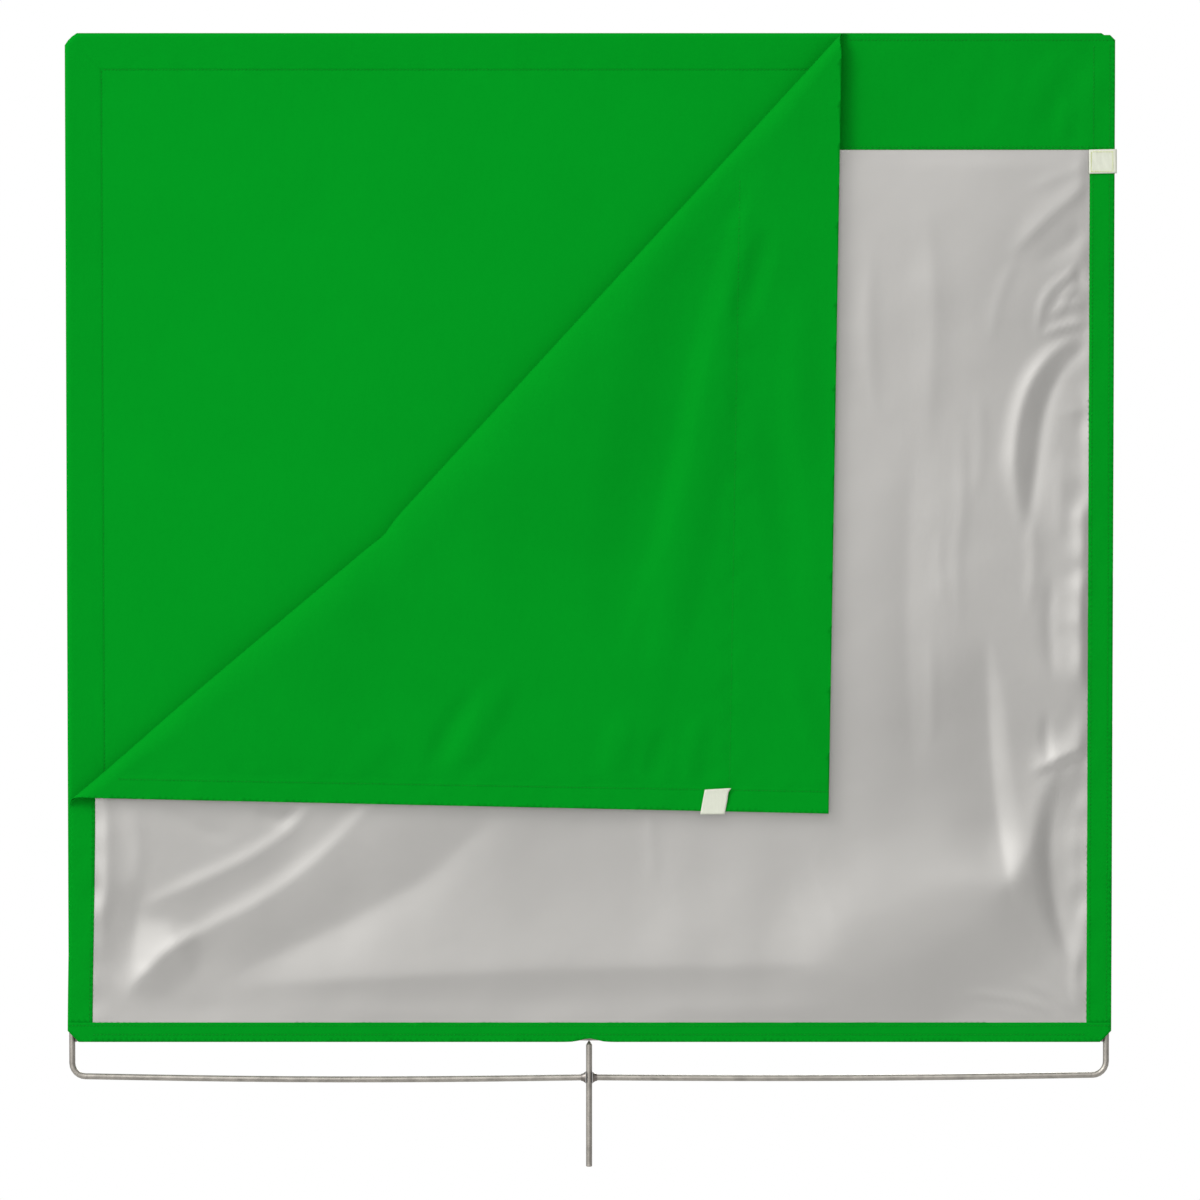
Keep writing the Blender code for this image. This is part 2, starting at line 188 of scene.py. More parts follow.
def wave(tree, axis, pitch, distortion=0.0, detail_scale=1.0):
    """Parallel threads, one for each pitch in metres."""
    made = node(tree, "ShaderNodeTexWave", wave_type="BANDS", bands_direction=axis, wave_profile="SIN",
                in_Vector=position(tree), in_Scale=math.pi / (10 * pitch), in_Distortion=distortion,
                in_Detail=1.0, in_Detail_Scale=detail_scale)
    return made.outputs["Fac"]


def maths(tree, operation, a, b):
    made = node(tree, "ShaderNodeMath", operation=operation)
    for socket, value in zip(made.inputs, (a, b)):
        connect(tree, socket, value)
    return made.outputs["Value"]


def ramp(tree, factor, stops):
    """Colours by factor, from (place, colour) stops."""
    made = node(tree, "ShaderNodeValToRGB", in_Fac=factor)
    elements = made.color_ramp.elements
    while len(elements) < len(stops):
        elements.new(0.5)
    for element, (place, colour) in zip(elements, stops):
        element.position = place
        element.color = (*colour, 1)
    return made.outputs["Color"]


def bump(tree, shader, heights):
    """Chains one bump for each (height, strength, distance)."""
    last = None
    for height, strength, distance in heights:
        made = node(tree, "ShaderNodeBump", in_Height=height, in_Strength=strength, in_Distance=distance)
        if last is not None:
            connect(tree, made.inputs["Normal"], last)
        last = made.outputs["Normal"]
    dress(tree, shader, Normal=last)


def scaled(colour, factor):
    return tuple(c * factor for c in colour)


def cloth_material(name, colour, rough, spread, crease):
    """Plain weave with slubs, cloudy dye and a light crumple."""
    material, tree, shader = new_material(name)
    weave = maths(tree, "MULTIPLY", wave(tree, "X", WEAVE_PITCH), wave(tree, "Z", WEAVE_PITCH))
    cloudy = noise(tree, 9, 4)
    slub = noise(tree, 260, 2, 0.6, (1, 1, 0.12))
    threads = maths(tree, "ADD", maths(tree, "MULTIPLY", slub, 0.25), maths(tree, "MULTIPLY", weave, 0.15))
    tone = maths(tree, "ADD", maths(tree, "MULTIPLY", cloudy, 0.6), threads)
    mixed = ramp(tree, tone, [(0.30, scaled(colour, 1 - spread)), (0.70, scaled(colour, 1 + spread))])
    uneven = maths(tree, "ADD", rough - 0.06, maths(tree, "MULTIPLY", noise(tree, 45, 3), 0.12))
    dress(tree, shader, Base_Color=mixed, Roughness=uneven, Specular_IOR_Level=0.02)
    bump(tree, shader, [(noise(tree, 38, 4, 0.6), crease, 0.004), (weave, 0.25, WEAVE_PITCH * 0.3)])
    return material


def satin_material(name, colour):
    """Coated grey cloth: satin, with a fine crumple and rubbed patches."""
    material, tree, shader = new_material(name)
    weave = maths(tree, "MULTIPLY", wave(tree, "X", 0.0006), wave(tree, "Z", 0.0006))
    cloudy = noise(tree, 3.2, 4, 0.5)
    tone = maths(tree, "ADD", maths(tree, "MULTIPLY", cloudy, 0.95), maths(tree, "MULTIPLY", weave, 0.05))
    mixed = ramp(tree, tone, [(0.05, scaled(colour, 0.90)), (0.95, scaled(colour, 1.09))])
    rubbed = maths(tree, "ADD", 0.28, maths(tree, "MULTIPLY", noise(tree, 14, 5, 0.6), 0.06))
    dress(tree, shader, Base_Color=mixed, Roughness=rubbed, Metallic=0.72)
    bump(tree, shader, [(noise(tree, 13, 3, 0.45), 0.07, 0.008), (weave, 0.05, 0.0002)])
    return material


def webbing_material():
    material, tree, shader = new_material("webbing_weave")
    colour = (0.69, 0.715, 0.60)
    ribs = wave(tree, "Z", 0.0011, 0.4, 8.0)
    picks = wave(tree, "X", 0.0016, 0.3, 8.0)
    weave = maths(tree, "MULTIPLY", ribs, picks)
    grime = noise(tree, 120, 4)
    tone = maths(tree, "ADD", maths(tree, "MULTIPLY", weave, 0.5), maths(tree, "MULTIPLY", grime, 0.5))
    mixed = ramp(tree, tone, [(0.2, scaled(colour, 0.90)), (0.75, scaled(colour, 1.05))])
    dress(tree, shader, Base_Color=mixed, Roughness=0.8, Specular_IOR_Level=0.2)
    bump(tree, shader, [(grime, 0.2, 0.001), (weave, 0.5, 0.0004)])
    return material


def thread_material(name, colour):
    material, tree, shader = new_material(name)
    twist = wave(tree, "DIAGONAL", 0.0007)
    mixed = ramp(tree, twist, [(0.2, scaled(colour, 0.8)), (0.8, scaled(colour, 1.15))])
    dress(tree, shader, Base_Color=mixed, Roughness=0.6, Specular_IOR_Level=0.15)
    bump(tree, shader, [(twist, 0.4, 0.0002)])
    return material


def steel_material(name, tint, heat):
    """Drawn steel rod, with die lines, grey oxide and, near a weld, heat colours."""
    material, tree, shader = new_material(name)
    oxide = noise(tree, 70, 6, 0.65)
    streaks = noise(tree, 900, 2, 0.6, (0.05, 1, 1))
    tone = maths(tree, "ADD", maths(tree, "MULTIPLY", oxide, 0.7), maths(tree, "MULTIPLY", streaks, 0.3))
    dark = tuple(a * (1 - heat) + b * heat for a, b in zip(scaled(tint, 0.62), (0.10, 0.07, 0.06)))
    mixed = ramp(tree, tone, [(0.33, dark), (0.58, tint)])
    rough = maths(tree, "ADD", 0.24, maths(tree, "MULTIPLY", oxide, 0.26))
    dress(tree, shader, Base_Color=mixed, Roughness=rough, Metallic=0.95)
    bump(tree, shader, [(oxide, 0.15, 0.0006), (streaks, 0.12, 0.0002)])
    return material


MATERIALS = {
    "screen": cloth_material("green_cloth_screen", scaled(GREEN, 0.975), 0.85, spread=0.025, crease=0.10),
    "green": cloth_material("green_cloth_flap", scaled(GREEN, 0.955), 0.80, spread=0.03, crease=0.14),
    "grey": satin_material("grey_cloth_satin", (0.512, 0.500, 0.479)),
    "webbing": webbing_material(),
    "green_thread": thread_material("green_thread", scaled(GREEN, 0.93)),
    "lime_thread": thread_material("lime_thread", (0.62, 0.70, 0.22)),
    "steel": steel_material("steel_rod", (0.465, 0.435, 0.390), 0.0),
    "weld": steel_material("steel_weld", (0.30, 0.28, 0.26), 0.7),
}


# ---------------------------------------------------------------- fields

def waves(x, z, size, seed, count=7):
    """A smooth uneven field from about -1 to 1 whose bumps are about size across."""
    draw = np.random.RandomState(seed)
    total = np.zeros_like(x)
    for angle, phase, stretch in zip(draw.uniform(0, math.pi, count), draw.uniform(0, 6.28, count),
                                     draw.uniform(0.7, 1.5, count)):
        total += np.sin((x * math.cos(angle) + z * math.sin(angle)) * 2 * math.pi / (size * stretch) + phase)
    return total / math.sqrt(count)


def smooth(t):
    t = np.clip(t, 0, 1)
    return t * t * (3 - 2 * t)


def rounded(points):
    """The line with its corners cut twice."""
    for _ in range(2):
        near = 0.75 * points[:-1] + 0.25 * points[1:]
        far = 0.25 * points[:-1] + 0.75 * points[1:]
        cut = np.stack([near, far], 1).reshape(-1, 2)
        points = np.concatenate([points[:1], cut[1:-1], points[-1:]])
    return points


def crest(x, z, points, left, right, height, soft):
    """A fold along the points, with its own width on each hand, each width as (at the start, at the end).

    Its flanks are steepest beside the line, or half way down where soft is 1.
    """
    nearest = np.full(np.shape(x), 1e9)
    place = np.zeros(np.shape(x))
    hand = np.zeros(np.shape(x))
    steps = [math.dist(a, b) for a, b in zip(points, points[1:])]
    done, whole = 0.0, sum(steps)
    for (ax, az), (bx, bz), step in zip(points, points[1:], steps):
        t = np.clip(((x - ax) * (bx - ax) + (z - az) * (bz - az)) / step ** 2, 0, 1)
        away = np.hypot(x - ax - t * (bx - ax), z - az - t * (bz - az))
        side = (bx - ax) * (z - az) - (bz - az) * (x - ax)
        closer = away < nearest
        place = np.where(closer, (done + t * step) / whole, place)
        hand = np.where(closer, side, hand)
        nearest = np.where(closer, away, nearest)
        done += step
    taper = smooth(place / 0.35) * smooth((1 - place) / 0.35)
    left_width, right_width = [start + (end - start) * place for start, end in (left, right)]
    width = np.where(hand > 0, left_width, right_width)
    away = nearest / (width * (0.5 + 0.5 * taper))
    slope = np.clip(1 - np.hypot(away, RIDGE_ROUND) + RIDGE_ROUND, 0, 1)
    return height * taper * ((1 - soft) * slope ** 2 + soft * smooth(slope))


def folds(x, z, low, size, table, soft):
    """The sum of the folds in a table of (points as shares of a box, width on each hand, height)."""
    total = np.zeros_like(x)
    for shares, left, right, height in table:
        points = rounded(np.array(low) + np.array(shares) * np.array(size))
        left, right = [w if isinstance(w, tuple) else (w, w) for w in (left, right)]
        reach = max(*left, *right)
        start, end = points.min(axis=0) - reach, points.max(axis=0) + reach
        near = (x > start[0]) & (x < end[0]) & (z > start[1]) & (z < end[1])
        total[near] += crest(x[near], z[near], points, left, right, height, soft)
    return total


# Folds of the grey facing: points in shares of its box from the lower left, the widths on the left and right
# hand going along them, and the height towards the front.
FACING_FOLDS = [
    # the sweep up from the lower left corner: its bright foot, its ridge, and the far side of the dark swath
    (((0.033, 0.025), (0.065, 0.076), (0.112, 0.107)), (0.058, 0.030), (0.040, 0.050), 0.0044),
    (((0.025, 0.030), (0.102, 0.100), (0.172, 0.138), (0.242, 0.198), (0.317, 0.300)),
     (0.019, 0.020), (0.034, 0.075), 0.00155),
    (((0.116, 0.041), (0.206, 0.088), (0.272, 0.124), (0.347, 0.172), (0.418, 0.260)),
     (0.060, 0.085), (0.060, 0.070), -0.0024),
    (((0.044, 0.021), (0.038, 0.088), (0.051, 0.167)), (0.075, 0.070), (0.060, 0.034), -0.0032),
    (((0.031, 0.126), (0.091, 0.153), (0.154, 0.185), (0.203, 0.222), (0.233, 0.271)),
     (0.018, 0.014), (0.036, 0.026), 0.0013),
    (((0.162, 0.248), (0.188, 0.227), (0.210, 0.248)), 0.014, 0.016, -0.0008),
    # the left edge
    (((0.005, 0.042), (0.012, 0.163), (0.009, 0.289)), (0.007, 0.006), (0.024, 0.022), 0.0013),
    (((0.041, 0.149), (0.047, 0.211), (0.027, 0.259)), 0.020, 0.020, 0.0006),
    (((0.065, 0.255), (0.102, 0.222), (0.146, 0.211)), 0.016, 0.018, -0.0005),
    # the long low fold along the bottom
    (((0.111, 0.039), (0.237, 0.049), (0.378, 0.057), (0.529, 0.064), (0.690, 0.064), (0.841, 0.080)),
     (0.090, 0.130), (0.034, 0.044), 0.0025),
    # the slack lower right
    (((0.670, 0.037), (0.770, 0.069), (0.851, 0.123), (0.916, 0.156), (0.992, 0.197)),
     (0.170, 0.130), (0.135, 0.115), 0.0095),
    (((0.896, 0.134), (0.936, 0.183), (0.950, 0.232), (0.968, 0.278), (1.022, 0.329)),
     (0.060, 0.050), (0.050, 0.034), 0.0024),
    (((0.770, 0.014), (0.871, 0.069), (0.972, 0.140)), 0.090, 0.090, 0.0008),
    (((0.986, 0.048), (0.964, 0.134), (0.958, 0.197), (0.963, 0.255), (0.986, 0.317)),
     (0.024, 0.020), (0.040, 0.050), -0.0036),
    (((0.988, 0.134), (0.984, 0.220), (1.002, 0.278)), 0.016, 0.016, 0.0006),
    # the bright upright spindle beside it
    (((0.925, 0.111), (0.911, 0.209), (0.903, 0.288), (0.899, 0.369), (0.895, 0.455)),
     0.160, (0.030, 0.018), -0.0046),
    # the half-moon by the right edge
    (((0.934, 0.553), (0.924, 0.625), (0.926, 0.674), (0.935, 0.719), (0.952, 0.755), (0.974, 0.779),
      (1.012, 0.790)),
     (0.020, 0.018), (0.022, 0.026), 0.0027),
    (((0.936, 0.547), (0.944, 0.614), (0.949, 0.662), (0.955, 0.704), (0.966, 0.739), (0.984, 0.766),
      (1.012, 0.780)),
     (0.014, 0.020), 0.020, -0.0018),
    (((0.938, 0.461), (0.946, 0.530), (0.938, 0.599)), 0.014, 0.018, 0.0008),
    # pulls from the upper right corner
    (((0.917, 0.872), (0.942, 0.905), (0.969, 0.933), (1.012, 0.975)),
     (0.022, 0.026), (0.016, 0.014), 0.0011),
    (((0.934, 0.952), (0.970, 0.970), (1.010, 0.989)), 0.012, 0.014, 0.0004),
    (((0.942, 0.867), (0.972, 0.885), (1.010, 0.920)), 0.024, 0.022, -0.0007),
    (((0.899, 0.771), (0.909, 0.839), (0.932, 0.885)), 0.012, 0.016, 0.0004),
    # crinkles above the half-moon
    (((0.946, 0.775), (0.952, 0.830), (0.976, 0.856), (1.008, 0.876)), 0.008, 0.010, 0.0011),
    (((1.006, 0.844), (0.992, 0.846), (0.987, 0.861), (0.998, 0.876)), 0.006, 0.007, -0.0013),
    (((0.956, 0.807), (0.980, 0.825), (1.000, 0.821)), 0.007, 0.009, 0.0010),
    (((0.970, 0.810), (0.976, 0.833), (0.992, 0.849)), 0.007, 0.007, 0.0009),
    (((0.946, 0.784), (0.976, 0.799), (1.008, 0.803)), 0.010, 0.009, 0.0013),
    # puckers along the right band
    (((0.998, 0.502), (0.995, 0.553), (1.008, 0.610)), (0.024, 0.026), 0.007, 0.0042),
    (((0.996, 0.427), (0.994, 0.477), (1.006, 0.528)), (0.032, 0.034), 0.007, 0.0040),
    (((1.000, 0.367), (0.994, 0.415), (1.004, 0.463)), (0.032, 0.038), 0.007, 0.0042),
    (((0.966, 0.383), (0.958, 0.456), (0.964, 0.523)), 0.016, 0.014, -0.0012),
    (((0.938, 0.282), (0.974, 0.305), (1.030, 0.326)), (0.030, 0.034), 0.012, 0.0030),
    (((0.962, 0.280), (0.956, 0.326), (0.958, 0.362)), 0.012, 0.010, -0.0012),
    (((0.976, 0.534), (0.968, 0.599), (0.976, 0.667)), 0.018, 0.020, 0.0007),
    (((0.968, 0.698), (0.992, 0.702), (1.012, 0.706)), 0.008, 0.010, 0.0005),
    # slack upright runs in the middle
    (((0.787, 0.685), (0.776, 0.794), (0.782, 0.897)), 0.020, 0.022, 0.0006),
    (((0.835, 0.644), (0.847, 0.805), (0.836, 0.943)), 0.034, 0.030, 0.0008),
    (((0.883, 0.587), (0.894, 0.667), (0.886, 0.736)), 0.014, 0.014, 0.0004),
    (((0.873, 0.427), (0.865, 0.530), (0.875, 0.599), (0.869, 0.702)), 0.016, 0.014, 0.0005),
    (((0.859, 0.461), (0.847, 0.523), (0.853, 0.576)), 0.012, 0.014, 0.0004),
    (((0.826, 0.255), (0.814, 0.484), (0.826, 0.690)), 0.050, 0.050, -0.0014),
    (((0.841, 0.300), (0.843, 0.381), (0.839, 0.461)), 0.012, 0.014, 0.0005),
    (((0.566, 0.154), (0.561, 0.206), (0.559, 0.255)), 0.014, 0.014, 0.0004),
    # ripples by the lower right corner
    (((0.851, 0.034), (0.932, 0.028), (0.986, -0.002)), 0.010, 0.009, 0.0008),
    (((0.871, 0.018), (0.927, 0.014), (0.968, -0.005)), 0.007, 0.007, 0.0006),
    (((0.921, 0.055), (0.968, 0.030), (0.996, -0.005)), 0.010, 0.009, 0.0007),
    (((0.994, -0.005), (0.984, 0.042), (0.992, 0.094)), 0.012, 0.010, 0.0008),
]

# Folds of the top band, in shares of its box.
BAND_FOLDS = [
    (((0.760, 0.10), (0.800, 0.60), (0.900, 0.95)), 0.022, 0.022, 0.0014),
    (((0.600, 0.05), (0.660, 0.50), (0.700, 0.90)), 0.028, 0.028, -0.0012),
    (((0.900, 0.05), (0.930, 0.45), (0.985, 0.80)), 0.020, 0.020, 0.0016),
    (((0.850, 0.02), (0.870, 0.30), (0.880, 0.50)), 0.014, 0.014, 0.0016),
]

# Folds of the folded corner, in shares of its box.
CORNER_FOLDS = [
    (((0.900, 0.900), (0.806, 0.680), (0.760, 0.430), (0.690, 0.180)), 0.030, 0.075, -0.0055),
    (((0.880, 0.780), (0.835, 0.560), (0.790, 0.350), (0.740, 0.080)), 0.035, 0.030, 0.0026),
    (((0.910, 0.780), (0.880, 0.690), (0.862, 0.620)), 0.020, 0.020, -0.0026),
    (((0.960, 0.720), (0.945, 0.560), (0.960, 0.400)), 0.030, 0.030, 0.0022),
    (((0.900, 0.560), (0.930, 0.380), (0.940, 0.220)), 0.030, 0.030, -0.0018),
    (((0.930, 0.200), (0.955, 0.130), (0.985, 0.060)), 0.024, 0.024, 0.0022),
    (((0.570, 0.190), (0.510, 0.100), (0.480, 0.040)), 0.026, 0.026, 0.0026),
    (((0.520, 0.170), (0.480, 0.100), (0.450, 0.050)), 0.020, 0.020, -0.0020),
    (((0.400, 0.120), (0.380, 0.070), (0.360, 0.030)), 0.030, 0.030, 0.0016),
    (((0.720, 0.140), (0.700, 0.070), (0.690, 0.020)), 0.024, 0.024, 0.0020),
    (((0.820, 0.140), (0.800, 0.070), (0.800, 0.030)), 0.018, 0.018, 0.0016),
    (((0.770, 0.120), (0.755, 0.070), (0.750, 0.030)), 0.016, 0.016, -0.0016),
]


# ---------------------------------------------------------------- the folded flap

def half_width(z):
    share = (z - FLAP_BOTTOM) / (FLAP_TOP - FLAP_BOTTOM)
    return FLAP_HALF_BOTTOM + (FLAP_HALF_TOP - FLAP_HALF_BOTTOM) * share


def pin_arch(x):
    return ARCH_HEIGHT * np.exp(-(x / ARCH_WIDTH) ** 2)


def along_across(x, z):
    """Flat place as the distance along the fold line and across it, positive on the corner's side."""
    dx, dz = x - FOLD_X, z - FOLD_Z
    return dx * RUN_X + dz * RUN_Z, dz * RUN_X - dx * RUN_Z


def flat_place(along, across):
    return FOLD_X + along * RUN_X - across * RUN_Z, FOLD_Z + along * RUN_Z + across * RUN_X


def bow(along):
    """How far the roll's apex stands away from the straight fold line."""
    total = 0
    for shift, weight in ((-0.007, 0.25), (0, 0.5), (0.007, 0.25)):
        share = (along + shift + FOLD_HALF) / (2 * FOLD_HALF)
        total = total + weight * np.interp(share, BOW_SHARES, BOW_DEPTHS)
    return total


def fullness(along):
    """0 at the ends of the fold, 1 in its middle."""
    return smooth(1 - np.abs(along / FOLD_HALF)) ** 0.6


def front_side(along):
    return ROLL_FRONT_SIDE[0] + (ROLL_FRONT_SIDE[1] - ROLL_FRONT_SIDE[0]) * fullness(along)


def folds_in_box(x, z, low, high, table, soft):
    return folds(x, z, (low.x, low.z), (high.x - low.x, high.z - low.z), table, soft)


def facing_swell(x, z):
    """How far the grey facing stands out, fading at the bands round it."""
    from_side = half_width(z) - SIDE_BAND - np.abs(x)
    swell = folds_in_box(x, z, FACING_LOW, FACING_HIGH, FACING_FOLDS, 0.0)
    swell += 0.0010 * waves(x, z, 0.42, 3) + 0.00012 * waves(x, z, 0.10, 4)
    inside = smooth(from_side / 0.015 + 0.3)
    inside = inside * smooth((FLAP_TOP - TOP_BAND - z) / 0.03 + 0.3)
    inside = inside * smooth((z - FLAP_BOTTOM - BOTTOM_BAND) / 0.03 + 0.3)
    return swell * inside + 0.0004 * waves(x, z, 0.035, 5) * np.exp(-(from_side / 0.02) ** 2)


def band_swell(x, z):
    swell = folds_in_box(x, z, TOP_LOW, TOP_HIGH, BAND_FOLDS, 1.0) + 0.0006 * waves(x, z, 0.11, 6)
    return swell * (smooth((FLAP_TOP - z) / 0.03) * smooth((z - FLAP_TOP + TOP_BAND) / 0.03 + 0.2))


def flap_swell(x, z):
    """How far the open part of the flap stands out in front of its flat plane, within its room."""
    swell = facing_swell(x, z) + band_swell(x, z)
    fill = np.clip(swell / SWELL_ROOM, 0, None)
    return swell / (1 + fill ** 6) ** (1 / 6)


def corner_swell(x, z, flat_x, flat_z):
    """How far the folded corner stands out. x and z are its places after folding."""
    swell = folds_in_box(x, z, CORNER_LOW, CORNER_HIGH, CORNER_FOLDS, 1.0)
    swell += 0.0007 * waves(x, z, 0.22, 8) + 0.0003 * waves(x, z, 0.07, 9)
    from_side = flat_x + half_width(flat_z)
    edge = np.minimum(FLAP_TOP - flat_z, from_side)
    seam = np.minimum(np.abs(FLAP_TOP - BAND_SEAM - flat_z), np.abs(from_side - SIDE_BAND))
    pucker = 0.00035 * waves(x, z, 0.03, 10) * np.exp(-(seam / 0.02) ** 2)
    groove = 0.0007 * np.exp(-(seam / 0.003) ** 2)
    return 1.15 * swell * (0.35 + 0.65 * smooth(edge / 0.06)) + pucker - groove


def left_pull(x, z):
    """How far the cloth is drawn to the right near the fold's left end."""
    return (LEFT_PULL * smooth(1 - (x - CORNER_LOW.x) / LEFT_PULL_WIDTH)
            * np.exp(-((z - LEFT_PULL_Z) / LEFT_PULL_HEIGHT) ** 2))


def fold(x, z, lift=0.0):
    """Takes places on the flat flap to where the cloth lies, folded over. lift is towards the green back."""
    x, z = np.asarray(x, float), np.asarray(z, float)
    along, across = along_across(x, z)
    apex, front = bow(along), front_side(along)
    behind, ahead = apex + ROLL_BACK_SIDE, apex + front
    turn = np.where(across < 0, 1 + across / behind, 1 + across / ahead)
    turn = np.clip(turn, 0, 2) * math.pi / 2
    sine, cosine = np.sin(turn), np.cos(turn)
    rear = across < 0
    side = np.where(rear, ROLL_BACK_SIDE, front)
    depth = np.where(rear, ROLL_BACK, ROLL_FRONT + ROLL_FRONT_EXTRA * fullness(along))
    new_across = -apex - side * (1 - sine)
    new_across = np.where(across < -behind, across, np.where(across > ahead, -across, new_across))
    settle = ROLL_FRONT_EXTRA * fullness(along) * smooth((across - ahead) / 0.16)
    forward = ROLL_BACK - depth * cosine - settle
    new_x, new_z = flat_place(along, new_across + lift * sine)
    new_x = new_x + left_pull(new_x, new_z)
    if lift:
        apart = np.maximum(np.abs(cosine), min(1.0, BACKING_LIFT / abs(lift)))
        forward = forward - lift * apart * np.where(rear, 1, -1)
    forward = forward + np.where(rear, smooth(1 - turn / 1.1) * flap_swell(x, z), 0)
    turned = smooth(turn / math.pi) * smooth((across - 0.2 * ahead) / 0.03)
    forward = forward + np.where(rear, 0, turned * corner_swell(new_x, new_z, x, z))
    arch = pin_arch(x) * np.clip(1 - (z - FLAP_BOTTOM) / ARCH_FADE, 0, 1)
    return np.stack([new_x, FLAP_Y - forward, new_z + arch], -1)


def flat_grid(cell):
    """Flat places in rows along the fold line, packed closely where the cloth turns."""
    along = np.arange(-0.86, 0.90, cell)[:, None]
    behind = bow(along) + ROLL_BACK_SIDE
    ahead = bow(along) + front_side(along)
    rear_flat = -behind - np.arange(0, 1.12, cell)[::-1]
    rear_turn = -behind * ((np.arange(BACK_ROWS) + 0.5) / BACK_ROWS)[::-1]
    front_turn = ahead * (np.arange(FRONT_ROWS) + 0.5) / FRONT_ROWS
    front_flat = ahead + np.arange(0, 0.70, cell)
    across = np.concatenate([rear_flat, rear_turn, front_turn, front_flat], axis=1)
    x, z = flat_place(np.broadcast_to(along, across.shape), across)
    return x, z


GRID_X, GRID_Z = flat_grid(CELL)


def quads_of(rows, columns):
    index = np.arange(rows * columns).reshape(rows, columns)
    return np.stack([index[:-1, :-1], index[:-1, 1:], index[1:, 1:], index[1:, :-1]], -1).reshape(-1, 4)


def shade_smooth(mesh):
    mesh.polygons.foreach_set("use_smooth", np.ones(len(mesh.polygons), bool))


def thicken(made, thickness):
    solid = made.modifiers.new("thickness", "SOLIDIFY")
    solid.thickness = thickness
    solid.offset = 0


def new_object(name, vertices, faces, material):
    mesh = bpy.data.meshes.new(name)
    mesh.from_pydata([tuple(v) for v in vertices], [], [tuple(int(i) for i in f) for f in faces])
    mesh.update()
    made = bpy.data.objects.new(name, mesh)
    bpy.context.scene.collection.objects.link(made)
    mesh.materials.append(MATERIALS[material])
    shade_smooth(mesh)
    return made


def cut_flat(name, polygon, material):
    """The part of the flat grid inside a convex polygon, whose points go anticlockwise."""
    x, z = GRID_X.ravel(), GRID_Z.ravel()
    quads = quads_of(*GRID_X.shape)
    keep = np.ones(len(quads), bool)
    sides = list(zip(polygon, polygon[1:] + polygon[:1]))
    for (ax, az), (bx, bz) in sides:
        outside = (x - ax) * (bz - az) - (z - az) * (bx - ax) > 0
        keep &= ~outside[quads].all(axis=1)
    quads = quads[keep]
    used, quads = np.unique(quads, return_inverse=True)
    quads = quads.reshape(-1, 4)
    made = new_object(name, np.stack([x[used], np.zeros(len(used)), z[used]], -1), quads, material)
    shape = bmesh.new()
    shape.from_mesh(made.data)
    for (ax, az), (bx, bz) in sides:
        bmesh.ops.bisect_plane(shape, geom=shape.verts[:] + shape.edges[:] + shape.faces[:], dist=1e-7,
                               plane_co=(ax, 0, az), plane_no=(bz - az, 0, -(bx - ax)), clear_outer=True)
    bmesh.ops.remove_doubles(shape, verts=shape.verts[:], dist=2e-4)
    shape.to_mesh(made.data)
    shape.free()
    return made


def flap_piece(name, polygon, lift, material, body, stands_for):
    """One layer of the flap. body is one name, or None where it goes round the fold."""
    made = cut_flat(name, polygon, material)
    flat = np.array([v.co for v in made.data.vertices])
    placed = fold(flat[:, 0], flat[:, 2], lift)
    made.data.vertices.foreach_set("co", placed.astype(np.float32).ravel())
    shade_smooth(made.data)
    made.data.update()
    thicken(made, CLOTH)
    if body:
        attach(made, body)
    else:
        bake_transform(made)
    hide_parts(*stands_for)
    return made


def outline(side, top, bottom):
    """The flap's outline, drawn in by these amounts, from its lower left cut corner round."""
    low, high = FLAP_BOTTOM + bottom, FLAP_TOP - top
    a, b = half_width(low) - side, half_width(high) - side
    if side:
        return [(-a, low), (a, low), (b, high), (-b, high)]
    return [(-a + BOTTOM_CUT, low), (a - BOTTOM_CUT, low), (a, low + BOTTOM_CUT), (b, high - TOP_CUT),
            (b - TOP_CUT, high), (-b, high), (-a, low + BOTTOM_CUT)]


def band_polygons():
    low, high = FLAP_BOTTOM + BOTTOM_BAND, FLAP_TOP - TOP_BAND
    a, b = half_width(low), half_width(high)
    top, bottom = half_width(FLAP_TOP), half_width(FLAP_BOTTOM)
    return {
        "top": [(-b, high), (b, high), (top, FLAP_TOP - TOP_CUT), (top - TOP_CUT, FLAP_TOP),
                (-top, FLAP_TOP)],
        "left": [(-a, low), (-a + SIDE_BAND, low), (-b + SIDE_BAND, high), (-b, high)],
        "right": [(a - SIDE_BAND, low), (a, low), (b, high), (b - SIDE_BAND, high)],
        "bottom": [(-bottom + BOTTOM_CUT, FLAP_BOTTOM), (bottom - BOTTOM_CUT, FLAP_BOTTOM),
                   (bottom, FLAP_BOTTOM + BOTTOM_CUT), (a, low), (-a, low),
                   (-bottom, FLAP_BOTTOM + BOTTOM_CUT)],
    }


def make_flap():
    bands = band_polygons()
    overlap = 0.004  # how far the facing reaches under the bands round it
    pieces = [
        ("flap_backing_cloth", outline(0, 0, 0), BACKING_LIFT, "green", None,
         ("flap_backing", "corner_backing", "corner_crease"), "green_cloth"),
        ("flap_facing_cloth", outline(SIDE_BAND - overlap, TOP_BAND - overlap, BOTTOM_BAND - overlap),
         FACING_LIFT, "grey", None, ("flap_facing", "corner_facing"), "grey_cloth"),
        ("flap_top_band_cloth", bands["top"], BAND_LIFT, "green", None,
         ("flap_top_band", "corner_top_band"), "green_cloth"),
        ("flap_left_band_cloth", bands["left"], BAND_LIFT, "green", None,
         ("flap_left_band", "corner_left_band"), "green_cloth"),
        ("flap_right_band_cloth", bands["right"], BAND_LIFT, "green", "flap", ("flap_right_band",),
         "green_cloth"),
        ("flap_bottom_band_cloth", bands["bottom"], BAND_LIFT, "green", "flap", ("flap_bottom_band",),
         "green_cloth"),
    ]
    for name, polygon, lift, material, body, stands_for, slot in pieces:
        made = flap_piece(name, polygon, lift, material, body, stands_for)


# ---------------------------------------------------------------- the main cloth

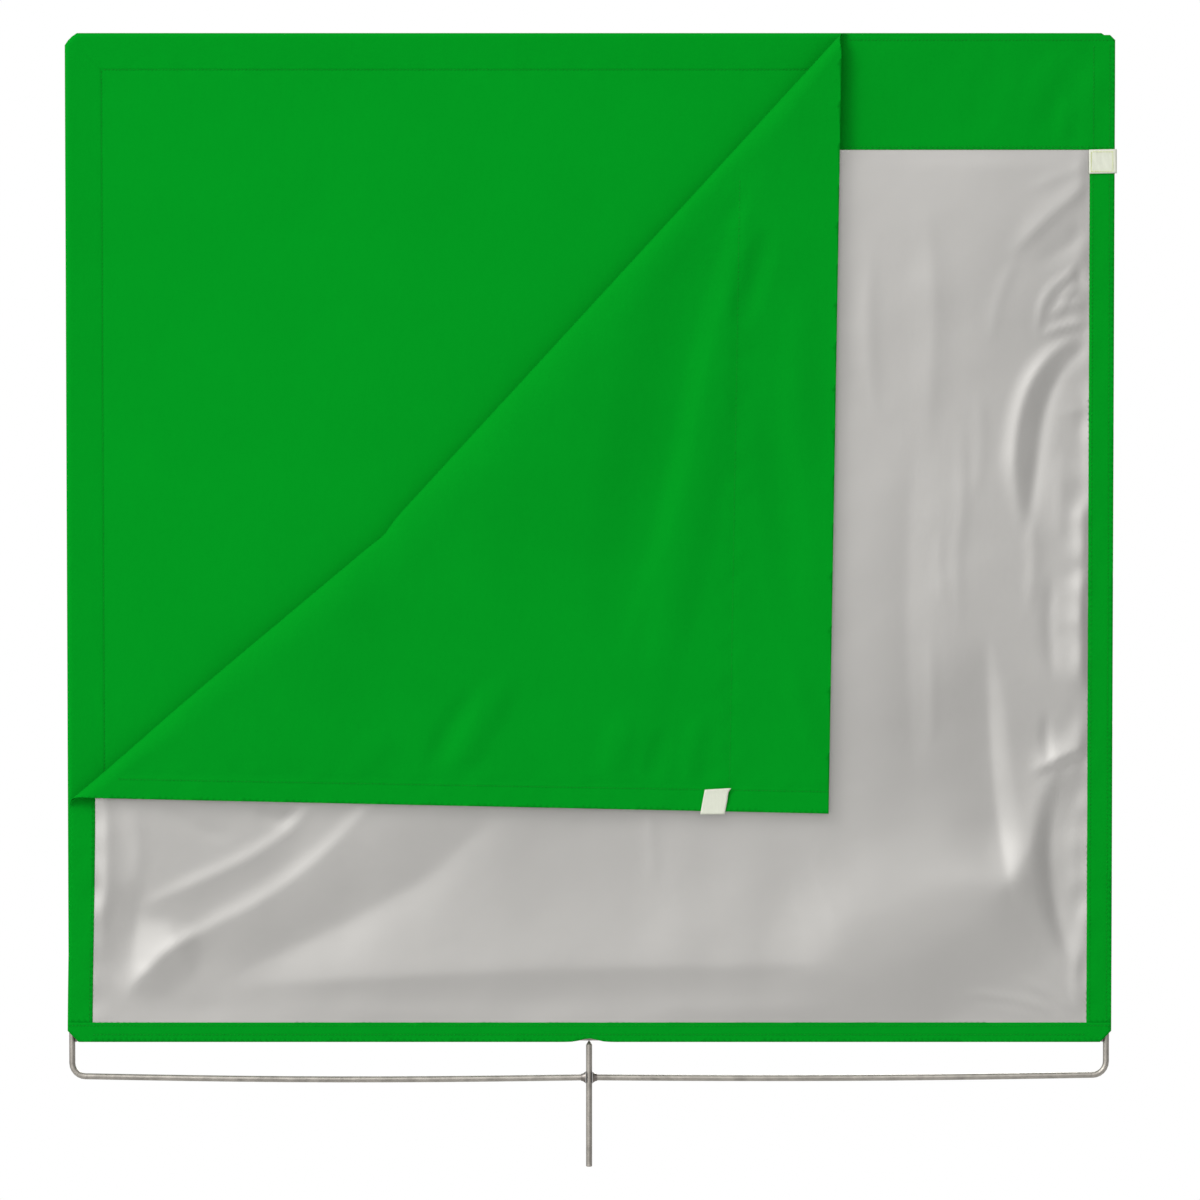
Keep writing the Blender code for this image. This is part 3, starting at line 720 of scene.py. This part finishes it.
def screen_ring(inset, cut):
    """The screen's outline drawn in by inset, with its top corners cut: eight points, anticlockwise."""
    low, high = SCREEN_BOTTOM + inset, SCREEN_TOP - inset
    a, b = SCREEN_HALF_BOTTOM - inset, SCREEN_HALF_TOP - inset
    return [(-a + cut, low), (a - cut, low), (a, low + cut), (b, high - cut),
            (b - cut, high), (-b + cut, high), (-b, high - cut), (-a, low + cut)]


def ring_points(corners, wide, tall):
    """Points round a ring: wide or tall of them on its long sides, and 3 on each cut corner."""
    counts = [wide, 3, tall, 3, wide, 3, tall, 3]
    points = []
    for a, b, count in zip(corners, corners[1:] + corners[:1], counts):
        share = np.arange(count)[:, None] / count
        line = np.array(a) * (1 - share) + np.array(b) * share
        if count == 3:
            line += SCREEN_CUT_BULGE * np.array([b[1] - a[1], a[0] - b[0]]) / math.dist(a, b) * (share > 0)
        points.append(line)
    return np.concatenate(points)


def sleeve_front(inset, front):
    """Distance of the cloth from its middle plane at a distance in from its outer edge."""
    radius = SLEEVE_RADIUS
    if inset <= radius:
        return math.sqrt(max(radius ** 2 - (radius - inset) ** 2, 0))
    if inset >= SLEEVE_SEAM:
        hem = 0.0004 if (not front and inset < SLEEVE_SEAM + 0.004) else 0
        return SCREEN_LEVEL + hem
    flat = 0.0007 if front else 0.0011
    return radius + (flat - radius) * (inset - radius) / (SLEEVE_SEAM - radius)


# The rings of the main cloth, as distances in from its edge: round the rod, down the sleeve, over the seam.
SCREEN_INSETS = [0, 0.0003, 0.0011, 0.0024, 0.0043, 0.0070, 0.0110, 0.0160, 0.0220, 0.0290, 0.0350, 0.0385,
                 0.0405, 0.0418, 0.0427, 0.0436, 0.0449, 0.0467, 0.0475, 0.0500]


def screen_swell(x, z, inset):
    """Slight waves in the stretched cloth, and puckers along its seam."""
    from_seam = inset - SLEEVE_SEAM
    pucker = 0.00022 * np.exp(-(from_seam / 0.012) ** 2) * waves(x, z, 0.028, 21)
    groove = 0.00012 * np.exp(-(from_seam / 0.0014) ** 2)
    calm = smooth((inset - 0.012) / 0.05)
    return pucker - groove + calm * (0.0005 * waves(x, z, 0.33, 22) + 0.00015 * waves(x, z, 0.10, 23))


def screen_rings(front, wide, tall):
    """Vertices of the rings, from the cloth's edge inwards."""
    rings = []
    for inset in SCREEN_INSETS:
        ring = ring_points(screen_ring(inset, max(SCREEN_CUT - 0.55 * inset, 0.0005)), wide, tall)
        swell = screen_swell(ring[:, 0], ring[:, 1], inset) if inset > 0.005 else np.zeros(len(ring))
        y = sleeve_front(inset, front) + (swell if front else -swell * 0.5 + 0.0003 * (inset > 0.02))
        rings.append(np.stack([ring[:, 0], (-y if front else y), ring[:, 1]], -1))
    return rings


def screen_middle(front, wide, tall):
    """Vertices of the grid inside the rings."""
    low, high = SCREEN_BOTTOM + SCREEN_GRID_INSET, SCREEN_TOP - SCREEN_GRID_INSET
    share_x, share_z = np.meshgrid(np.linspace(0, 1, wide + 1), np.linspace(0, 1, tall + 1))
    z = low + share_z * (high - low)
    half = SCREEN_HALF_BOTTOM - SCREEN_GRID_INSET + (SCREEN_HALF_TOP - SCREEN_HALF_BOTTOM) * share_z
    x = half * (2 * share_x - 1)
    inset = SCREEN_GRID_INSET + np.minimum.reduce([x + half, half - x, z - low, high - z])
    swell = screen_swell(x, z, inset)
    y = SCREEN_LEVEL + (swell if front else -swell)
    return np.stack([x, (-y if front else y), z], -1).reshape(-1, 3)


def grid_rim(grid):
    """The grid's edge as one vertex for each of a ring's, with its corners repeated on the cut corners."""
    return [*grid[0, :-1], *[grid[0, -1]] * 3, *grid[:-1, -1], *[grid[-1, -1]] * 3, *grid[-1, :0:-1],
            *[grid[-1, 0]] * 3, *grid[:0:-1, 0], *[grid[0, 0]] * 3]


def screen_side(front, wide, tall):
    """Vertices and faces of one side of the main cloth: rings round the edge, then a grid."""
    rings = screen_rings(front, wide, tall)
    size = len(rings[0])
    start = len(rings) * size
    grid = np.arange((wide + 1) * (tall + 1)).reshape(tall + 1, wide + 1) + start
    loops = [range(row * size, (row + 1) * size) for row in range(len(rings))] + [grid_rim(grid)]
    faces = []
    for outer, inner in zip(loops, loops[1:]):
        for i in range(size):
            j = (i + 1) % size
            face = (outer[i], outer[j], int(inner[j]), int(inner[i]))
            faces.append(tuple(dict.fromkeys(face)))
    faces += [tuple(f) for f in quads_of(tall + 1, wide + 1) + start]
    if not front:
        faces = [f[::-1] for f in faces]
    return np.concatenate([*rings, screen_middle(front, wide, tall)]), faces


def make_screen():
    wide, tall = int(1.2 / CELL), int(1.16 / CELL)
    front, front_faces = screen_side(True, wide, tall)
    back, back_faces = screen_side(False, wide, tall)
    faces = front_faces + [tuple(i + len(front) for i in f) for f in back_faces]
    made = new_object("screen_cloth", np.concatenate([front, back]), faces, "screen")
    shape = bmesh.new()
    shape.from_mesh(made.data)
    bmesh.ops.remove_doubles(shape, verts=shape.verts[:], dist=2e-5)
    for v in shape.verts:
        low = max(0.0, 1 - (v.co.z - SCREEN_BOTTOM) / ARCH_FADE)
        v.co.z += SCREEN_ARCH * pin_arch(v.co.x) * low
    bmesh.ops.recalc_face_normals(shape, faces=shape.faces[:])
    shape.to_mesh(made.data)
    shape.free()
    shade_smooth(made.data)
    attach(made, "frame")
    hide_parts("screen_panel", "sleeve_top", "sleeve_left", "sleeve_right", "sleeve_bottom")


make_screen()
make_flap()


# ---------------------------------------------------------------- the hinge cloth along the bottom

def make_hinge():
    """The strip that joins the flap to the main cloth, behind the flap's bottom band."""
    low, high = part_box("hinge_seam")
    columns = 160
    x = np.linspace(low.x, high.x, columns + 1)
    profile = [(high.z + 0.012, high.y - 0.0002), (high.z, high.y - 0.0006), (low.z + 0.004, high.y - 0.0008),
               (FLAP_BOTTOM + 0.0009, high.y - 0.0013), (FLAP_BOTTOM + 0.0006, FLAP_Y + 0.0016),
               (low.z + 0.004, FLAP_Y + 0.0012), (high.z, FLAP_Y + 0.0012)]
    vertices = [(px, y + 0.0001 * math.sin(px * 190), z + pin_arch(px)) for z, y in profile for px in x]
    made = new_object("hinge_cloth", vertices, quads_of(len(profile), columns + 1), "green")
    thicken(made, CLOTH)
    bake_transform(made)
    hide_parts("hinge_seam")


make_hinge()


# ---------------------------------------------------------------- stitches

def along_line(points, pitch):
    """Evenly spaced places and directions along a line of points."""
    points = np.asarray(points, float)
    steps = np.linalg.norm(np.diff(points, axis=0), axis=1)
    run = np.concatenate([[0], np.cumsum(steps)])
    places = np.arange(pitch / 2, run[-1], pitch)
    spots = np.stack([np.interp(places, run, points[:, i]) for i in range(3)], -1)
    ahead = np.stack([np.interp(places + 1e-4, run, points[:, i]) for i in range(3)], -1)
    behind = np.stack([np.interp(places - 1e-4, run, points[:, i]) for i in range(3)], -1)
    directions = ahead - behind
    return spots, directions / np.linalg.norm(directions, axis=1)[:, None]


# A stitch's places along its length, each with the share of its radius there, and its number of sides.
STITCH_SECTION = [(0.0, 0.35), (0.18, 0.9), (0.5, 1.0), (0.82, 0.9), (1.0, 0.35)]
STITCH_SIDES = 6


def stitch_vertices(spot, direction, side, top, length):
    """One plump thread at a spot, humped towards its top."""
    vertices = []
    for share, size in STITCH_SECTION:
        rise = 1.2 * STITCH_RADIUS * math.sin(math.pi * share)
        centre = spot + direction * (share - 0.5) * length + top * rise
        for k in range(STITCH_SIDES):
            angle = 2 * math.pi * k / STITCH_SIDES
            outward = side * math.cos(angle) + top * math.sin(angle)
            vertices.append(centre + STITCH_RADIUS * size * outward)
    return vertices


def stitch_faces(start):
    faces = []
    for ring in range(len(STITCH_SECTION) - 1):
        for k in range(STITCH_SIDES):
            a = start + ring * STITCH_SIDES + k
            b = start + ring * STITCH_SIDES + (k + 1) % STITCH_SIDES
            faces.append((a, b, b + STITCH_SIDES, a + STITCH_SIDES))
    last = start + (len(STITCH_SECTION) - 1) * STITCH_SIDES
    faces.append(tuple(range(start, start + STITCH_SIDES))[::-1])
    faces.append(tuple(range(last, last + STITCH_SIDES)))
    return faces


def stitches(name, lines, body, material, outward=(0, -1, 0), length=STITCH_LENGTH, pitch=STITCH_PITCH):
    """Short plump threads along each line."""
    vertices, faces = [], []
    for line in lines:
        spots, directions = along_line(line, pitch)
        up = np.array(outward, float)
        across = np.cross(directions, np.broadcast_to(up, spots.shape))
        across /= np.linalg.norm(across, axis=1)[:, None]
        for spot, direction, side in zip(spots, directions, across):
            faces += stitch_faces(len(vertices))
            vertices += stitch_vertices(spot, direction, side, up, length)
    made = new_object(name, vertices, faces, material)
    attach(made, body)
    return made


def straight(a, b, count):
    """The x and z of evenly spaced points from a to b."""
    share = np.linspace(0, 1, count)
    return a[0] + (b[0] - a[0]) * share, a[1] + (b[1] - a[1]) * share


def flat_line(a, b, lift, body):
    """The folded line from a to b on the flat flap, only its part on the body flap or flap_corner."""
    x, z = straight(a, b, 400)
    along, across = along_across(x, z)
    if body == "flap":
        inside = across < -(bow(along) + ROLL_BACK_SIDE)
    else:
        inside = across > bow(along) + front_side(along)
    return fold(x[inside], z[inside], lift)


def screen_line(inset, front):
    """The four sides of the seam on the main cloth's front or back."""
    corners = screen_ring(inset, 0.0005)
    lines = []
    for a, b in zip(corners[::2], corners[1::2]):
        x, z = straight(a, b, 200)
        swell = screen_swell(x, z, inset)
        level = sleeve_front(inset, front) + (swell + 0.0001 if front else -swell / 2 + 0.0004)
        lines.append(np.stack([x, -level if front else level, z], -1))
    return lines


def seam_lines():
    """The flap's seams as straight lines on the flat flap."""
    low, high = FLAP_BOTTOM + BOTTOM_BAND, FLAP_TOP - TOP_BAND
    a, b, top = half_width(low), half_width(high), half_width(FLAP_TOP)
    inner, outer, right_fold = 0.0035, 0.0060, 0.0250
    bottom = FLAP_BOTTOM + 0.0088
    return {
        "top_hem": ((-b, high + inner), (b, high + inner)),
        "right_hem": ((a - SIDE_BAND + inner, low), (b - SIDE_BAND + inner, high)),
        "left_hem": ((-a + SIDE_BAND - inner, low), (-b + SIDE_BAND - inner, high)),
        "bottom_hem": ((-a + SIDE_BAND, bottom), (a - SIDE_BAND, bottom)),
        "bottom_edge": ((-a, low - inner), (a, low - inner)),
        "right_edge": ((a - outer, low), (top - outer, FLAP_TOP - 0.01)),
        "right_fold": ((b - right_fold, high), (top - right_fold, FLAP_TOP - 0.01)),
        "top_edge": ((-top, FLAP_TOP - outer), (top, FLAP_TOP - outer)),
        "corner_seam": ((-top, FLAP_TOP - BAND_SEAM), (0.2, FLAP_TOP - BAND_SEAM)),
        "corner_hem": ((-b + SIDE_BAND - inner, 0.4), (-top + SIDE_BAND - inner, FLAP_TOP)),
    }


def make_stitches():
    stitches("screen_stitches_front", screen_line(SLEEVE_SEAM, True), "frame", "green_thread")
    stitches("screen_stitches_back", screen_line(SLEEVE_SEAM, False), "frame", "green_thread", (0, 1, 0))
    lines = seam_lines()
    flap_names = [name for name in lines if not name.startswith("corner")]
    front, back = BAND_LIFT - CLOTH / 2, BACKING_LIFT + CLOTH / 2
    ahead, rear = (0, -1, 0), (0, 1, 0)
    for name, names, lift, body, outward in (
            ("flap_stitches_front", flap_names, front, "flap", ahead),
            ("flap_stitches_back", flap_names, back, "flap", rear),
            ("corner_stitches_front", ["corner_seam", "corner_hem"], back, "flap_corner", ahead),
            ("corner_stitches_back", ["top_hem", "left_hem", "top_edge"], front, "flap_corner", rear)):
        stitches(name, [flat_line(*lines[n], lift, body) for n in names], body, "green_thread", outward)


make_stitches()


# ---------------------------------------------------------------- tabs

def strip(name, rows, body, stands_for, thickness):
    """A webbing strip through rows of points, each row across its width."""
    rows = np.asarray(rows, float)
    made = new_object(name, rows.reshape(-1, 3), quads_of(*rows.shape[:2]), "webbing")
    thicken(made, thickness)
    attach(made, body)
    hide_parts(stands_for)
    return made


def half_turn(radius):
    """Offsets round the fold at a tab's end: out past the end, and back from the middle to the front."""
    return [(radius * math.sin(a), -radius * math.cos(a)) for a in np.linspace(0.1, math.pi - 0.1, 9)]


def make_right_tab():
    low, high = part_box("right_tab")
    across = np.linspace(low.z, high.z, 15)
    front, back = FLAP_Y - 0.0026, FLAP_Y + 0.0014
    middle, radius = (front + back) / 2, (back - front) / 2
    width = 0.0316
    end = high.x - radius + 0.0008
    path = [(low.x + width * t, front) for t in np.linspace(0, 0.94, 18)]
    path += [(end + out, middle + rise) for out, rise in half_turn(radius)]
    path += [(high.x - width * t, back) for t in np.linspace(0.08, 0.92, 16)]
    rows = [[(x, y - 0.00022 * math.sin(x * 600 + z * 240), z + 0.0006 * (x - low.x) / 0.03) for z in across]
            for x, y in path]
    made = strip("right_tab_webbing", rows, "flap", "right_tab", 0.0011)
    inset, face = 0.0026, front - 0.0006
    right = high.x - inset - 0.001
    corners = [(low.x + inset, low.z + inset), (right, low.z + inset), (right, high.z - inset),
               (low.x + inset, high.z - inset)]
    sides = [[(a[0], face, a[1]), (b[0], face, b[1])] for a, b in zip(corners, corners[1:] + corners[:1])]
    stitches("right_tab_stitches", sides, "flap", "lime_thread", length=0.0024, pitch=0.0030)


def make_left_tab():
    """It hangs below the folded corner's edge, leans, and curls at its upper right."""
    low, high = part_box("left_tab")
    across = np.linspace(0, 1, 15)
    front, back = low.y + 0.0002, high.y - 0.0004
    middle, radius = (front + back) / 2, (back - front) / 2
    height = high.z - low.z
    top, end = high.z - 0.0050, low.z + radius - 0.0018
    path = [(top - (height - 0.0030) * t, front - 0.0012 * (1 - t) ** 3) for t in np.linspace(0, 0.93, 18)]
    path += [(end - out, middle + rise) for out, rise in half_turn(radius)]
    path += [(low.z + height * t, back) for t in np.linspace(0.10, 0.86, 16)]
    rows = []
    for index, (z, y) in enumerate(path):
        left = low.x + 0.0012 + 0.0058 * (z - low.z) / height - 0.0030
        curl = max(0.0, 1 - (top - z) / 0.004) * (index < 5)
        rise = 0.0016 * (z > 0.43)
        rows.append([(left + 0.0285 * s + 0.0022 * curl * s ** 4, y - 0.0012 * curl * s ** 3, z + rise * s)
                     for s in across])
    made = strip("left_tab_webbing", rows, "flap_corner", "left_tab", 0.0010)


make_right_tab()
make_left_tab()


# ---------------------------------------------------------------- steel

for name, piece in frame["nodes"].items():
    if piece.hide_render:
        continue
    piece.data.materials.clear()
    piece.data.materials.append(MATERIALS["weld" if "weld" in name else "steel"])
    piece.data.polygons.foreach_set("use_smooth", np.ones(len(piece.data.polygons), bool))


# ---------------------------------------------------------------- floor, light and camera

def make_floor():
    """A round floor, well below the object, with room for the flap to hang down."""
    radius, level, count = 12.0, -1.25, 64
    turns = [2 * math.pi * k / count for k in range(count)]
    vertices = [(radius * math.cos(turn), radius * math.sin(turn), level) for turn in turns]
    mesh = bpy.data.meshes.new("floor")
    mesh.from_pydata(vertices, [], [list(range(count))])
    floor = bpy.data.objects.new("floor", mesh)
    bpy.context.scene.collection.objects.link(floor)
    material, tree, shader = new_material("pale_floor")
    grain = ramp(tree, noise(tree, 3, 4), [(0.3, (0.64, 0.64, 0.64)), (0.7, (0.68, 0.68, 0.68))])
    dress(tree, shader, Base_Color=grain, Roughness=0.9)
    mesh.materials.append(material)


def make_world():
    """White behind the object, and a soft grey surround for its light."""
    world = bpy.data.worlds.new("studio")
    bpy.context.scene.world = world
    world.use_nodes = True
    tree = world.node_tree
    tree.nodes.clear()
    direction = node(tree, "ShaderNodeTexCoord").outputs["Generated"]
    split = node(tree, "ShaderNodeSeparateXYZ", in_Vector=direction)
    towards = node(tree, "ShaderNodeVectorMath", operation="DOT_PRODUCT")
    connect(tree, towards.inputs[0], direction)
    connect(tree, towards.inputs[1], Vector((-0.50, -0.70, 0.50)).normalized())
    lit = maths(tree, "MAXIMUM", towards.outputs["Value"], 0.0)
    lit = maths(tree, "MULTIPLY", maths(tree, "POWER", lit, 4.0), 1.90)
    behind = maths(tree, "MULTIPLY", maths(tree, "MAXIMUM", split.outputs["Y"], 0.0), 0.35)
    level = maths(tree, "ADD", 0.37, maths(tree, "ADD", lit, behind))
    surround = node(tree, "ShaderNodeBackground", in_Color=(1, 1, 1, 1), in_Strength=level)
    white = node(tree, "ShaderNodeBackground", in_Color=(1, 1, 1, 1), in_Strength=1.0)
    path = node(tree, "ShaderNodeLightPath")
    chosen = node(tree, "ShaderNodeMixShader", in_Fac=path.outputs["Is Camera Ray"])
    connect(tree, chosen.inputs[1], surround.outputs["Background"])
    connect(tree, chosen.inputs[2], white.outputs["Background"])
    node(tree, "ShaderNodeOutputWorld", in_Surface=chosen.outputs["Shader"])


def soft_light(name, place, target, size, power, glossy=True):
    light = bpy.data.lights.new(name, "AREA")
    light.shape = "DISK"
    light.size = size
    light.energy = power
    made = bpy.data.objects.new(name, light)
    made.location = place
    made.rotation_euler = (Vector(target) - Vector(place)).to_track_quat("-Z", "Y").to_euler()
    made.visible_camera = False
    made.visible_glossy = glossy
    bpy.context.scene.collection.objects.link(made)


def make_camera():
    """Straight in front, from far away, at the height of the picture's middle."""
    camera = bpy.data.cameras.new("camera")
    camera.sensor_width = 36
    camera.lens = 206
    made = bpy.data.objects.new("camera", camera)
    made.location = (0.0127, -8.0, 0.6601)
    made.rotation_euler = (math.pi / 2, 0, 0)
    camera.clip_end = 100
    bpy.context.scene.collection.objects.link(made)
    bpy.context.scene.camera = made


MIDDLE = (0.0, 0.0, 0.66)
make_floor()
make_world()
soft_light("key_light", (-3.0, -3.4, 3.4), MIDDLE, 2.2, 92)
soft_light("fill_light", (2.4, -4.6, 1.0), MIDDLE, 2.6, 16, False)
soft_light("back_light", (1.2, 4.2, 2.4), MIDDLE, 2.4, 90)
make_camera()
bpy.context.scene.view_settings.view_transform = "Standard"
